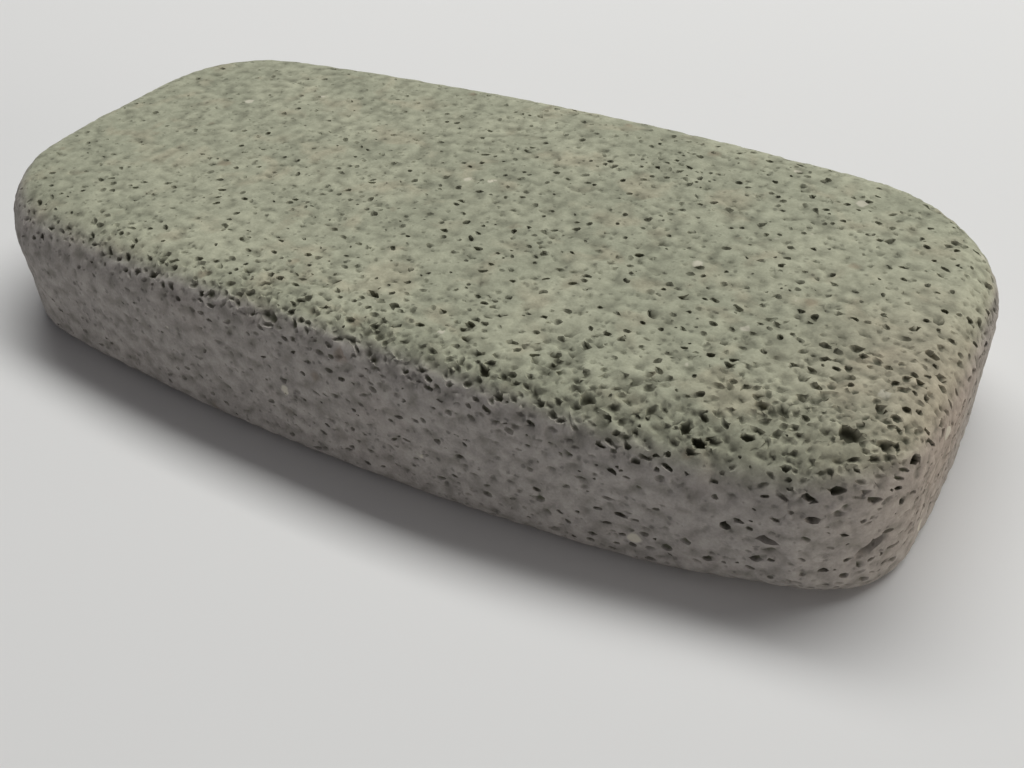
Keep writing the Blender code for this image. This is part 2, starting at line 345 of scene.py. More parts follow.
wear = {
    "frontReach": (3.5, 8.0),  # how far the broken-open zone runs in from the front, at the left and right
    "frontShare": (0.6, 1.0),
    "frontFull": 0.6,  # where the right's values are reached, over the half length
    "drop": 3.2,  # how far the wear runs down the walls
    "cornerPlace": (43.0, -16.5),
    "cornerReach": 11.0,
    "rimReach": 3.0,  # the same along the other rims
    "rimShare": 0.4,
}


# How broken open the surface is, from 0 to 1: the largest of the bell curves of the distances to the
# front rim, the worn corner and the nearest rim, each times one of the depth below the top.
def wornShare(points):
    x, y, below = points[:, 0], points[:, 1], barHeight - points[:, 2]
    endX, frontY = bowedEdges(x, y)
    drop = bell(below, wear["drop"])
    right = smooth(x, -halfLength, wear["frontFull"] * halfLength)
    front = between(wear["frontShare"], right) * bell(y + frontY, between(wear["frontReach"], right))
    cornerX, cornerY = wear["cornerPlace"]
    corner = np.exp(-((x - cornerX) ** 2 + (y - cornerY) ** 2) / wear["cornerReach"] ** 2)
    rims = wear["rimShare"] * bell(np.minimum(frontY - abs(y), endX - abs(x)), wear["rimReach"])
    return np.clip(np.maximum.reduce([front, corner, rims]) * drop, 0, 1)


calm = {
    "slope": 0.6,  # how fast it grows to the back left, and between which values
    "limits": (-10, 35),
    "backY": (-5, 5),  # where the back wall begins, and its height
    "backZ": (8, 13.5),
    "offBack": 0.9,  # how much of it the back wall loses
}


# How much a place belongs to the back wall, from 0 to 1: behind the middle and below the rim.
def backShare(points):
    return smooth(points[:, 1], *calm["backY"]) * (1 - smooth(points[:, 2], *calm["backZ"]))


# How calm the surface is, from 0 to 1, by the distance to the back left. Its pits are fewer and
# shallower.
def calmShare(points):
    toBackLeft = points[:, 1] * calm["slope"] - points[:, 0] * calm["slope"]
    return smooth(toBackLeft, *calm["limits"]) * (1 - calm["offBack"] * backShare(points))


pitting = {
    "seed": 417,
    "bowls": (  # count, least and greatest radius, and how strongly they keep to the broken-open surface
        (1300, 0.30, 0.45, 2.0),
        (2400, 0.24, 0.40, 0.0),
        (1300, 0.13, 0.24, 0.0),
    ),
    "drawnOver": 40,  # places drawn for each bowl wanted
    "sizePower": 1.3,
    "stretch": (1.0, 2.1),  # length over width
    "stretchPower": 1.5,
    "steepest": 0.75,
    "steepPower": (1.0, 1.3),  # on the walls and the flats
    "depth": (0.45, 0.8),  # over the radius: its start, and its growth with the steepness
    "depthSpread": (0.8, 0.4),
    "shade": (0.35, 0.65),
    "uprightBelow": 0.5,  # a surface is a wall where its way out has less z than this
    "rightFull": 0.9,  # where the right end's values are reached, over the half length
    "backAsRight": 0.6,  # how far along to the right end's values the back wall is
    "wallSize": (0.78, 1.0),  # the walls' pits over the others, at the left and right ends
    "wallDepth": (0.55, 1.0),
    "wallStretch": 1.35,
    "calmDepth": 0.55,  # the pits of the calmest surface, over the others
    "turns": (0.40, 0.9),  # spread of the turn from the bar's length, in radians, on the walls and flats
    "topShare": 0.55,  # how likely a bowl is kept on each side
    "baseShare": 0.08,
    "wallShare": (0.25, 0.6),  # at the left and right ends
    "calmKeeps": 0.4,
    "room": (1.0, 0.88),  # least distance over the two reaches, on a sound and on a broken-open surface
    "gap": 0.12,
    "dimples": {
        "count": 900,
        "radius": (0.34, 0.70),
        "depth": (0.05, 0.16),
        "shade": (0.1, 0.35),
        "turn": 1.2,
        "step": 0.6,
    },
    "creases": {
        "count": 1150,
        "length": (0.8, 1.9),
        "width": (0.2, 0.36),
        "depth": (0.06, 0.18),
        "shade": (0.15, 0.5),
        "turn": 0.4,
        "step": 0.7,
    },
    "besideSteepest": 0.5,
    "besideSound": 0.3,  # how likely a sound surface's bowl has one beside it, and one of the base
    "besideBase": 0.3,
    "waves": ((2, 0.13), (3, 0.11), (4, 0.07)),  # waves round a rim and their height over the radius
    "waveLimit": 1.4,
    "skew": 0.18,
    "floorPower": (1.8, 3.2),  # a profile's powers: each one's start, and its growth with the steepness
    "wallPower": (1.4, -0.7),
    "undercut": 0.4,  # how much a steep wall leans out
    "leastOut": 0.02,
    "farthestRim": 1.3,  # a waved rim's reach over its ellipse's
    "searchReach": 3.2,
    "landmarkShade": (0.4, 0.6),
    "landmarks": (  # middle (x, y, z), length, width, turn, depth, steepness
        ((47.0, -18.5, 5.6), 2.6, 1.4, 35, 0.8, 0.25),
        ((43.8, -16.9, 14.5), 1.9, 1.3, 10, 0.9, 0.7),
        ((46.5, -16.4, 13.9), 1.1, 1.0, 0, 0.7, 0.5),
        ((48.6, -15.1, 12.3), 1.0, 0.9, 40, 0.9, 1.0),
        ((40.4, -22.3, 6.5), 1.6, 0.7, -8, 0.8, 0.3),
        ((43.2, -21.5, 9.2), 1.3, 0.7, 0, 0.75, 0.3),
        ((37.3, -22.8, 6.9), 0.9, 0.7, 15, 0.8, 1.0),
        ((44.5, -20.6, 11.8), 1.3, 0.7, 35, 0.6, 0.7),
        ((25.2, -21.9, 14.0), 1.2, 0.9, 0, 0.7, 0.8),
        ((37.2, -17.0, 14.5), 1.1, 1.0, 20, 0.6, 0.3),
        ((32.8, -21.2, 14.0), 1.0, 0.9, 50, 0.7, 0.7),
        ((34.0, -22.0, 13.3), 1.0, 0.8, 0, 0.8, 1.0),
        ((16.7, -22.6, 13.9), 1.2, 0.9, -20, 0.7, 0.8),
        ((3.0, -18.9, 14.5), 1.5, 0.9, -10, 0.6, 0.6),
        ((46.6, -5.4, 14.4), 1.4, 0.8, -15, 0.5, 0.4),
        ((39.5, -14.7, 14.5), 1.0, 0.9, 30, 0.6, 0.4),
    ),
}
lengthwise, crosswise = [[1.0, 0.0, 0.0]], [[0.0, 1.0, 0.0]]
facesLengthwise = 0.9


# The tangent directions of a surface: the bar's length, or its width where the surface faces along it,
# less its part along the way out; and the cross product of the two.
def tangents(ways):
    along = np.where(abs(ways[:, :1]) < facesLengthwise, lengthwise, crosswise)
    along = unit(along - ways * np.sum(along * ways, axis=1, keepdims=True))
    return along, np.cross(ways, along)


# Places spread evenly over the bar: on its box by the area of its sides, then moved to the surface.
def randomPlaces(rng, count):
    size = np.array([2 * halfLength, 2 * halfWidth, barHeight])
    areas = np.array([size[0] * size[1], size[0] * size[2], size[1] * size[2]])
    side = rng.choice(3, size=count, p=areas / areas.sum())
    points = (rng.random((count, 3)) - 0.5) * size
    far = rng.random(count) < 0.5
    for index, axis in enumerate((2, 1, 0)):
        mine = side == index
        points[mine, axis] = np.where(far[mine], -0.5, 0.5) * size[axis]
    points[:, 2] += barHeight / 2
    points[:, 0], points[:, 1] = bowed(points[:, 0], points[:, 1])
    return surfaceAt(*chartsOf(points))


# How far along a place is from the left end's values to the right end's, by its x and on the back wall.
def rightShare(places):
    right = smooth(places[:, 0], -halfLength, pitting["rightFull"] * halfLength)
    return np.maximum(right, pitting["backAsRight"] * backShare(places))


def isUpright(ways):
    return abs(ways[:, 2]) < pitting["uprightBelow"]


# How likely a bowl is kept: its side's share, raised to 1 by the wear and lowered by the calm.
def bowlShare(places, ways):
    onWall = between(pitting["wallShare"], rightShare(places))
    onFlat = np.where(ways[:, 2] > 0, pitting["topShare"], pitting["baseShare"])
    share = np.where(isUpright(ways), onWall, onFlat)
    share = share + (1 - share) * wornShare(places)
    return share * (1 - (1 - pitting["calmKeeps"]) * calmShare(places))


# A set of pits as arrays: each an ellipse on the surface, turned from the tangents, whose rim is waved,
# with a depth and a shade that are less where it is calm or on a wall.
def makePits(rng, places, ways, half, turn, depth, steep, shade):
    along, across = tangents(ways)
    cosTurn, sinTurn = np.cos(turn)[:, None], np.sin(turn)[:, None]
    count, waves = len(places), len(pitting["waves"])
    heights = np.array([height for _, height in pitting["waves"]])
    limit = pitting["waveLimit"]
    softened = 1 - (1 - pitting["calmDepth"]) * calmShare(places)
    softened *= np.where(isUpright(ways), between(pitting["wallDepth"], rightShare(places)), 1)
    return {
        "place": places,
        "way": ways,
        "along": along * cosTurn + across * sinTurn,
        "across": across * cosTurn - along * sinTurn,
        "half": half,
        "depth": depth * softened,
        "steep": steep,
        "shade": shade * softened,
        "phase": rng.random((count, waves)) * fullTurn,
        "height": np.clip(rng.normal(size=(count, waves)), -limit, limit) * heights,
        "skew": rng.normal(size=(count, 2)) * pitting["skew"] * half.min(axis=1)[:, None],
    }


# The pits that stand in places of their own.
def landmarkPits(rng):
    rows = pitting["landmarks"]
    places, ways = surfaceAt(*chartsOf(np.array([row[0] for row in rows])))
    half = np.array([row[1:3] for row in rows]) / 2
    turn, depth, steep = (np.array([row[column] for row in rows], float) for column in (3, 4, 5))
    shade = grown(pitting["landmarkShade"], steep)
    return makePits(rng, places, ways, half, np.radians(turn), depth, steep, shade)


# A tier of bowls as candidates, more than are wanted. Size, stretch, turn, steepness and depth are drawn
# for each: a random share, to a power, of the way between two limits.
def bowlCandidates(rng, count, least, greatest, keeping):
    places, ways = randomPlaces(rng, pitting["drawnOver"] * count)
    kept = rng.random(len(places)) < bowlShare(places, ways) * wornShare(places) ** keeping
    places, ways = places[kept], ways[kept]
    draws = rng.random((5, len(places)))
    upright = isUpright(ways)
    wallSize = np.where(upright, between(pitting["wallSize"], rightShare(places)), 1)
    wallStretch = np.where(upright, pitting["wallStretch"], 1)
    radius = between((least, greatest), draws[0] ** pitting["sizePower"]) * wallSize
    stretch = np.sqrt(between(pitting["stretch"], draws[1] ** pitting["stretchPower"]) * wallStretch)
    turn = (draws[2] - 0.5) * 2 * np.where(upright, *pitting["turns"])
    steep = pitting["steepest"] * draws[3] ** np.where(upright, *pitting["steepPower"])
    depth = radius * grown(pitting["depth"], steep) * grown(pitting["depthSpread"], draws[4])
    half = np.column_stack([radius * stretch, radius / stretch])
    return makePits(rng, places, ways, half, turn, depth, steep, grown(pitting["shade"], steep))


# An ellipse's reach in a direction given by its parts along and across: the product of its halves over
# the length of the parts, each times the other half.
def ellipseReach(half, x, y):
    return half[..., 0] * half[..., 1] / np.maximum(np.hypot(half[..., 1] * x, half[..., 0] * y), tiny)


def joinSets(sets):
    return {field: np.concatenate([part[field] for part in sets]) for field in sets[0]}


# Adds candidates one by one, each where its distance to every near pit is at least the sum of the two
# reaches towards each other, times the room, and the gap, until enough are kept.
def addBowls(pits, candidates, wanted):
    held = len(pits["place"])
    fields = ("place", "along", "across", "half")
    kept = {name: np.concatenate([pits[name], np.zeros((wanted, pits[name].shape[1]))]) for name in fields}
    worn = wornShare(candidates["place"])
    rooms = between(pitting["room"], worn)
    gaps = pitting["gap"] * (1 - worn)
    chosen = []
    for index, (room, gap) in enumerate(zip(rooms, gaps)):
        place, along, across, half = (candidates[name][index] for name in fields)
        apart = kept["place"][:held] - place
        distance = np.sqrt(np.einsum("ij,ij->i", apart, apart))
        near = distance < pitting["searchReach"]
        toward = apart[near] / np.maximum(distance[near, None], tiny)
        reachOut = ellipseReach(half, toward @ along, toward @ across)
        partAlong = np.einsum("ij,ij->i", toward, kept["along"][:held][near])
        partAcross = np.einsum("ij,ij->i", toward, kept["across"][:held][near])
        reachBack = ellipseReach(kept["half"][:held][near], partAlong, partAcross)
        if (distance[near] < room * (reachOut + reachBack) + gap).any():
            continue
        for name in fields:
            kept[name][held] = candidates[name][index]
        held += 1
        chosen.append(index)
        if len(chosen) == wanted:
            break
    return joinSets([pits, {name: values[chosen] for name, values in candidates.items()}])


# Shallow dimples or long creases, each beside a bowl: the bowl's place and a step in a random direction.
# Wide and broken-open bowls have more of them.
def besideBowls(rng, bowls, kind):
    radius = np.sqrt(bowls["half"].prod(axis=1))
    onBase = np.where(bowls["way"][:, 2] < -pitting["uprightBelow"], pitting["besideBase"], 1)
    weight = radius * (pitting["besideSound"] + wornShare(bowls["place"])) * onBase
    host = rng.choice(len(radius), size=kind["count"], p=weight / weight.sum())
    draws = rng.random((4, kind["count"]))
    turn = rng.normal(size=kind["count"]) * kind["turn"]
    along, across = tangents(bowls["way"][host])
    heading = along * np.cos(turn)[:, None] + across * np.sin(turn)[:, None]
    heading *= np.where(draws[0] < 0.5, -1, 1)[:, None]
    if "length" in kind:
        half = np.column_stack([between(kind["length"], draws[1]), between(kind["width"], draws[2])]) / 2
        step = radius[host] + half[:, 0] * kind["step"]
    else:
        size = between(kind["radius"], draws[1] ** pitting["stretchPower"])
        stretch = np.sqrt(between(pitting["stretch"], draws[2]))
        half = np.column_stack([size * stretch, size / stretch])
        step = (radius[host] + size) * kind["step"]
    places, ways = surfaceAt(*chartsOf(bowls["place"][host] + heading * step[:, None]))
    depth, shade = between(kind["depth"], draws[3]), between(kind["shade"], draws[3])
    return makePits(rng, places, ways, half, turn, depth, pitting["besideSteepest"] * draws[0], shade)


# All the pits, and how many of them are bowls: these come first.
def scatterPits():
    rng = np.random.default_rng(pitting["seed"])
    bowls = landmarkPits(rng)
    for count, least, greatest, keeping in pitting["bowls"]:
        bowls = addBowls(bowls, bowlCandidates(rng, count, least, greatest, keeping), count)
        print("bowls placed:", len(bowls["place"]))
    dimples = besideBowls(rng, bowls, pitting["dimples"])
    creases = besideBowls(rng, bowls, pitting["creases"])
    return joinSets([bowls, dimples, creases]), len(bowls["place"])


# A rim's distance from the pit's middle over its ellipse's, at angles: 1 and a sum of a few cosine waves.
def rimWaves(phase, height, angles):
    orders = np.array([order for order, _ in pitting["waves"]])
    return 1 + np.sum(height * np.cos(orders * angles[..., None] + phase), axis=-1)


# A point's share of the way from a pit's middle to its rim: its distance over the ellipse's, over the
# waves.
def shareOut(pits, pit, apart):
    a = np.einsum("ij,ij->i", apart, pits["along"][pit]) / pits["half"][pit, 0]
    b = np.einsum("ij,ij->i", apart, pits["across"][pit]) / pits["half"][pit, 1]
    return np.hypot(a, b) / rimWaves(pits["phase"][pit], pits["height"][pit], np.arctan2(b, a))


# Every pair of a point and a pit that is near it, and the point's share of the way out. The points are
# taken in slices along the bar.
def nearPairs(pits, points, margin):
    order = np.argsort(points[:, 0])
    reach = pits["half"].max(axis=1) * pitting["farthestRim"] + margin
    search = pitting["searchReach"]
    rows, columns, shares = [], [], []
    for start in range(0, len(points), meshing["slice"]):
        part = order[start : start + meshing["slice"]]
        low, high = points[part[0], 0] - search, points[part[-1], 0] + search
        near = np.flatnonzero((pits["place"][:, 0] > low) & (pits["place"][:, 0] < high))
        apart = points[part][:, None] - pits["place"][near][None]
        row, column = np.nonzero(np.einsum("ijk,ijk->ij", apart, apart) < reach[near] ** 2)
        rows.append(part[row])
        columns.append(near[column])
        shares.append(shareOut(pits, near[column], apart[row, column]))
    return np.concatenate(rows), np.concatenate(columns), np.concatenate(shares)


# How far down a pit is at a share of the way out, and its depth there: 1 less the share to one power, to
# another power, which gives a bowl for a low steepness and a well for a high one.
def pitDepth(pits, pit, share):
    steep = pits["steep"][pit]
    floor = np.minimum(share, 1) ** grown(pitting["floorPower"], steep)
    sunk = (1 - floor) ** grown(pitting["wallPower"], steep)
    return sunk, sunk * pits["depth"][pit]


# The deepest pit at each point: its index, or -1, the share of the way out, how far down it is and its
# depth.
def deepestPit(pits, points):
    row, pit, share = nearPairs(pits, points, 0.0)
    inside = share < 1
    row, pit, share = row[inside], pit[inside], share[inside]
    sunk, depth = pitDepth(pits, pit, share)
    rank = np.lexsort((-depth, row))
    first = rank[np.unique(row[rank], return_index=True)[1]]
    owner = np.full(len(points), -1)
    values = np.zeros((3, len(points)))
    owner[row[first]] = pit[first]
    values[:, row[first]] = share[first], sunk[first], depth[first]
    return owner, *values


meshing = {
    "seed": 11,
    "slice": 1500,  # points handled at once
    "rings": (  # least radius, then the rings from the rim inwards: share of the way out and points
        (0.0, ((1.0, 6), (0.5, 3))),
        (0.2, ((1.0, 7), (0.6, 5))),
        (0.26, ((1.0, 8), (0.74, 6), (0.32, 3))),
        (0.55, ((1.0, 16), (0.86, 13), (0.6, 9), (0.28, 4))),
        (0.9, ((1.0, 24), (0.88, 20), (0.66, 14), (0.38, 8), (0.0, 1))),
    ),
    "shallowRings": ((1.0, 7), (0.5, 3)),
    "buriedBy": 0.05,  # a ring's point this far above a deeper pit is left out
    "closest": 0.085,
    "rimSeamStep": 0.24,
    "footSeamStep": 0.6,
    "fillStep": 0.62,
    "wornFillStep": 0.36,
    "wornFrom": 0.3,  # the wear at which the finer fill takes over
    "baseFillStep": 1.8,
    "shake": 0.4,  # how far the fill is shaken, over its step
    "edgeRoom": 0.45,  # its least distance to a chart's edge, over its step
    "seamClearance": 0.08,
    "pitClearance": 0.16,
    "mergeWithin": 1e-6,
    "sliver": 0.02,  # a triangle between edge points with its middle this near the edge is left out
    "sharpAngle": 50,
}


# The points of every pit's rings: evenly spaced angles, at the ring's share of the waved ellipse.
def ringPoints(pits, plans):
    points, owners = [], []
    for mine, rings in plans:
        for ring, (share, count) in enumerate(rings):
            angles = (np.arange(count) + 0.5 * (ring % 2)) / count * fullTurn
            angles = np.broadcast_to(angles, (len(mine), count))
            out = share * rimWaves(pits["phase"][mine][:, None], pits["height"][mine][:, None], angles)
            a = pits["half"][mine, :1] * out * np.cos(angles)
            b = pits["half"][mine, 1:] * out * np.sin(angles)
            along, across = pits["along"][mine][:, None], pits["across"][mine][:, None]
            place = pits["place"][mine][:, None] + a[..., None] * along + b[..., None] * across
            points.append(place.reshape(-1, 3))
            owners.append(np.repeat(mine, count))
    return np.concatenate(points), np.concatenate(owners)


# The rings of all the pits by their size, without the points that a deeper pit buries or that nearly
# meet.
def pitPoints(pits, bowlCount):
    radius = np.sqrt(pits["half"].prod(axis=1))
    isBowl = np.arange(len(radius)) < bowlCount
    starts = [least for least, _ in meshing["rings"]] + [np.inf]
    plans = [(np.flatnonzero(~isBowl), meshing["shallowRings"])]
    for (least, rings), following in zip(meshing["rings"], starts[1:]):
        plans.append((np.flatnonzero(isBowl & (radius >= least) & (radius < following)), rings))
    points, owners = ringPoints(pits, plans[::-1])
    places, _ = surfaceAt(*chartsOf(points))
    deepest, _, _, depth = deepestPit(pits, places)
    _, ownDepth = pitDepth(pits, owners, shareOut(pits, owners, places - pits["place"][owners]))
    places = places[(deepest < 0) | (deepest == owners) | (depth - ownDepth < meshing["buriedBy"])]
    _, first = np.unique(np.floor(places / meshing["closest"]).astype(int), axis=0, return_index=True)
    return places[np.sort(first)]


# A lattice of equal triangles over a rectangle, with each place shaken a little.
def lattice(rng, lowU, highU, lowV, highV, step):
    rows = int((highV - lowV) / (step * math.sqrt(3) / 2)) + 1
    columns = int((highU - lowU) / step) + 2
    v, u = np.mgrid[0:rows, 0:columns].astype(float)
    u = lowU + (u + 0.5 * (v % 2)) * step
    v = lowV + v * step * math.sqrt(3) / 2
    places = np.stack([u, v], axis=-1).reshape(-1, 2)
    return places + (rng.random(places.shape) - 0.5) * meshing["shake"] * step


# How far a chart's place is inside the chart's own edge: on the flats, the depth inside the outline less
# the edge's own, and on the wall the nearest of its four sides.
def insideBy(chart, u, v):
    radius, _, _, length = beyondCore(u, v)
    rimEdge, footEdge = (rounding(edge, u, v) * (1 - eighthTurn) for edge in ("rim", "foot"))
    onWall = np.minimum(np.minimum(u, girth - u), np.minimum(v, wallSpan - v))
    flats = [radius - length - rimEdge, radius - length - footEdge]
    return np.select([chart == topChart, chart == baseChart], flats, onWall)


# The points between the pits: each chart's lattices, kept where they are clear of the edge and of every
# pit.
def fillPoints(rng, pits):
    fineSteps, baseSteps = (meshing["fillStep"], meshing["wornFillStep"]), (meshing["baseFillStep"],)
    parts = []
    for chart, steps in ((topChart, fineSteps), (wallChart, fineSteps), (baseChart, baseSteps)):
        for level, step in enumerate(steps):
            if chart == wallChart:
                places = lattice(rng, 0, girth, 0, wallSpan, step)
            else:
                places = lattice(rng, -halfLength, halfLength, -halfWidth, halfWidth, step)
            u, v = places.T
            index = np.full(len(u), chart)
            inside = insideBy(index, u, v) > step * meshing["edgeRoom"]
            index, u, v = index[inside], u[inside], v[inside]
            points, _ = surfaceAt(index, u, v)
            if chart != baseChart:
                worn = wornShare(points) > meshing["wornFrom"]
                mine = worn if level else ~worn
                index, u, v, points = index[mine], u[mine], v[mine], points[mine]
            row, pit, share = nearPairs(pits, points, meshing["pitClearance"] * 2)
            tooNear = (share - 1) * pits["half"][pit].min(axis=1) < meshing["pitClearance"]
            clear = np.ones(len(points), bool)
            clear[row[tooNear]] = False
            parts.append((index[clear], u[clear], v[clear]))
    return [np.concatenate(column) for column in zip(*parts)]


# Triangulates one chart's points, with its outline as fixed edges. The triangles that the outline's own
# points make across its hollows are left out.
def triangulate(index, points, edges):
    corners = [Vector(point) for point in points]
    made = delaunay_2d_cdt(corners, edges.tolist(), [], 1, meshing["mergeWithin"], True)
    places, faces = np.array([tuple(place) for place in made[0]]), np.array(made[2])
    origin = np.array([ids[0] if ids else -1 for ids in made[3]])
    onEdge = (origin[faces] < len(edges)).all(axis=1)
    middles = places[faces].mean(axis=1)
    nearEdge = insideBy(np.full(len(faces), index), *middles.T) < meshing["sliver"]
    return places, faces[~(onEdge & nearEdge)], origin


# Everything that the charts need: the vertices (chart, u, v), and for each chart its own points and fixed
# edges. The wall is cut at the middle of the back.
def chartPoints(pits, bowlCount):
    rng = np.random.default_rng(meshing["seed"])
    rimCount = round(girth / meshing["rimSeamStep"])
    footCount = round(girth / meshing["footSeamStep"])
    cutCount = round(wallSpan / meshing["footSeamStep"]) - 1
    rimAround = np.arange(rimCount) / rimCount * girth
    footAround = np.arange(footCount) / footCount * girth
    cutDown = np.arange(1, cutCount + 1) / (cutCount + 1) * wallSpan

    ringChart, ringU, ringV = chartsOf(pitPoints(pits, bowlCount))
    fillChart, fillU, fillV = fillPoints(rng, pits)
    print("points on pits:", len(ringU), "between them:", len(fillU))

    seams = rimCount + footCount + cutCount
    chart = np.concatenate([np.full(seams, wallChart), ringChart, fillChart])
    u = np.concatenate([rimAround, footAround, np.zeros(cutCount), ringU, fillU])
    v = np.concatenate([np.zeros(rimCount), np.full(footCount, wallSpan), cutDown, ringV, fillV])
    free = (np.arange(len(u)) >= seams) & (insideBy(chart, u, v) >= meshing["seamClearance"])

    rimIds = np.arange(rimCount)
    footIds = rimCount + np.arange(footCount)
    cutIds = rimCount + footCount + np.arange(cutCount)
    farU, farV = np.full(cutCount + 2, girth), np.full(footCount + 1, wallSpan)
    wallIds = [rimIds, rimIds[:1], cutIds, footIds[:1], footIds[::-1], cutIds[::-1]]
    wallU = [rimAround, farU, footAround[::-1], np.zeros(cutCount)]
    wallV = [np.zeros(rimCount + 1), cutDown, farV, cutDown[::-1]]
    outlines = {wallChart: [np.concatenate(parts) for parts in (wallIds, wallU, wallV)]}
    flats = ((topChart, "rim", rimIds, rimAround), (baseChart, "foot", footIds, footAround))
    for index, edge, ids, around in flats:
        x, y, outX, outY = outlineAt(around)
        inset = rounding(edge, x, y) * (1 - eighthTurn)
        outlines[index] = [ids, x - outX * inset, y - outY * inset]

    charts = []
    for index in (topChart, wallChart, baseChart):
        outline, outlineU, outlineV = outlines[index]
        mine = np.flatnonzero(free & (chart == index))
        allU, allV = np.concatenate([outlineU, u[mine]]), np.concatenate([outlineV, v[mine]])
        loop = np.arange(len(outline))
        edges = np.column_stack([loop, np.roll(loop, -1)])
        charts.append((index, np.concatenate([outline, mine]), np.column_stack([allU, allV]), edges))
    return chart, u, v, charts


# The whole surface: chart triangles, turned to face outwards and joined on the seams. Gives the vertices'
# chart places, the triangles, and the corners' chart places.
def joinCharts(pits, bowlCount):
    chart, u, v, charts = chartPoints(pits, bowlCount)
    triangles, cornerPlaces, cornerCharts = [], [], []
    for index, ids, points, edges in charts:
        places, faces, origin = triangulate(index, points, edges)
        corners = places[faces]
        side1, side2 = corners[:, 1] - corners[:, 0], corners[:, 2] - corners[:, 0]
        turnsLeft = side1[:, 0] * side2[:, 1] - side1[:, 1] * side2[:, 0] > 0
        flip = turnsLeft != (index == topChart)
        faces[flip] = faces[flip][:, ::-1]
        triangles.append(ids[origin][faces])
        cornerPlaces.append(places[faces])
        cornerCharts.append(np.full(len(faces), index))
        print("chart", index, "points", len(points), "made", len(places), "triangles", len(faces))
    used, compact = np.unique(np.concatenate(triangles), return_inverse=True)
    cornerPlaces, cornerCharts = np.concatenate(cornerPlaces), np.concatenate(cornerCharts)
    return chart[used], u[used], v[used], compact.reshape(-1, 3), cornerPlaces, cornerCharts


# The pits carved: each vertex goes down by its deepest pit's depth, outwards where the pit's wall is
# steep, by the share to a power less than 1, and aside by the pit's skew.
def carvePits(pits, places):
    owner, share, sunk, depth = deepestPit(pits, places)
    rows = np.flatnonzero(owner >= 0)
    pit, out = owner[rows], np.maximum(share[rows], pitting["leastOut"])
    way = pits["way"][pit]
    spread = out ** (1 / (1 + pitting["undercut"] * pits["steep"][pit])) / out - 1
    apart = places[rows] - pits["place"][pit]
    flat = apart - way * np.sum(apart * way, axis=1, keepdims=True)
    skew = pits["along"][pit] * pits["skew"][pit, :1] + pits["across"][pit] * pits["skew"][pit, 1:]
    carved = places.copy()
    carved[rows] += flat * spread[:, None] + skew * sunk[rows, None] - way * depth[rows, None]
    # Each pit's painted shade: the share it is sunk times its shade.
    paintedShade = np.zeros(len(places))
    paintedShade[rows] = sunk[rows] * pits["shade"][pit]
    return carved, paintedShade


relief = {
    "seed": 5,
    "broad": {"waves": 26, "shortest": 4.0, "longest": 18.0},
    "fine": {"waves": 60, "shortest": 0.9, "longest": 2.6},
    "headings": (0.6, 1, 1),  # the waves are longer along the bar
    "contrast": 1.1,
    "broadDepth": 0.12,
    "fineDepth": 0.14,
    "wornFine": 0.02,
    "calmKeeps": 0.5,
    "offBase": (-0.98, -0.6),  # the outward z at which the base stays flat, and at which the relief is full
    "valleyShade": 0.36,  # how dark the painted shade in the valleys of the fine waves is
    "crestFade": 2,
    # The colour turns from the top's to the walls' where the rim goes into shade: partly a painted shade
    # tint.
    "turnFrom": (0.95, 0.78),  # the outward z where the top's colour gives way, at the left and right
    "turnTo": (0.60, 0.36),  # and where the wall's is reached
    "turnReach": (8, 36),  # between which x the left's values give way to the right's
    "leanShift": 1.3,  # how far the top of the front wall leans back, and where
    "leanMiddle": -6.0,
    "leanReach": 19.0,
    "leanDepth": 12.0,
}


# A sum of plane waves in space with random headings, squeezed to between 0 and 1 by a hyperbolic tangent.
def wavesSum(rng, points, waves, shortest, longest):
    headings = unit(rng.normal(size=(waves, 3)) * relief["headings"])
    lengths = shortest * (longest / shortest) ** rng.random(waves)
    phases = rng.random(waves) * fullTurn
    total = np.zeros(len(points))
    for heading, wavelength, phase in zip(headings, lengths, phases):
        total += np.cos(points @ heading * fullTurn / wavelength + phase)
    return 0.5 + 0.5 * np.tanh(total / math.sqrt(waves) * relief["contrast"])


# How far the front leans back: a bell curve along the bar times one inwards, growing with the height's
# square.
def leanBack(points):
    x, y, z = points.T
    _, frontY = bowedEdges(x, y)
    along = bell(x - relief["leanMiddle"], relief["leanReach"])
    inwards = bell(y + frontY, relief["leanDepth"])
    return relief["leanShift"] * along * inwards * (z / barHeight) ** 2


# How warm the colour is: a bell curve of the distance to the warm corner, whose warmth is partly a stain
# and partly painted warm light on the end.
def cornerStainAndLight(points):
    away = np.sum((points - finish["cornerPlace"]) ** 2, axis=1)
    return finish["cornerStainAndLight"] * np.exp(-away / finish["cornerReach"] ** 2)


# The pitted surface: the pits, then each vertex inwards by its waves' heights times their depths, then
# the lean. Gives the places, and the shares that the finish reads.
def carve(pits, places, ways):
    carved, paintedShade = carvePits(pits, places)
    rng = np.random.default_rng(relief["seed"])
    broad = wavesSum(rng, places, **relief["broad"])
    fine = wavesSum(rng, places, **relief["fine"])
    fineDepth = relief["fineDepth"] * (1 - (1 - relief["calmKeeps"]) * calmShare(places))
    fineDepth += relief["wornFine"] * wornShare(places)
    offBase = smooth(ways[:, 2], *relief["offBase"])
    carved -= ways * ((broad * relief["broadDepth"] + fine * fineDepth) * offBase)[:, None]
    carved[:, 1] += leanBack(places)
    right = smooth(places[:, 0], *relief["turnReach"])
    return carved, {
        # The painted shade: the pits' own, and a fainter one in the fine waves' valleys.
        "paintedShade": np.maximum(paintedShade, fine**2 * relief["valleyShade"]),
        # The crests' share, which the finish lightens as a painted highlight.
        "crest": (1 - fine) * (1 - np.minimum(paintedShade * relief["crestFade"], 1)),
        # The walls' colour share, its edge following where the shade begins: partly painted shade.
        "upright": smooth(ways[:, 2], between(relief["turnFrom"], right), between(relief["turnTo"], right)),
        "stainAndWarmLight": cornerStainAndLight(places),
    }


bake = {"span": 121.0, "gap": 1.0, "strips": 3}  # the square's side, its gaps and the wall's cuts


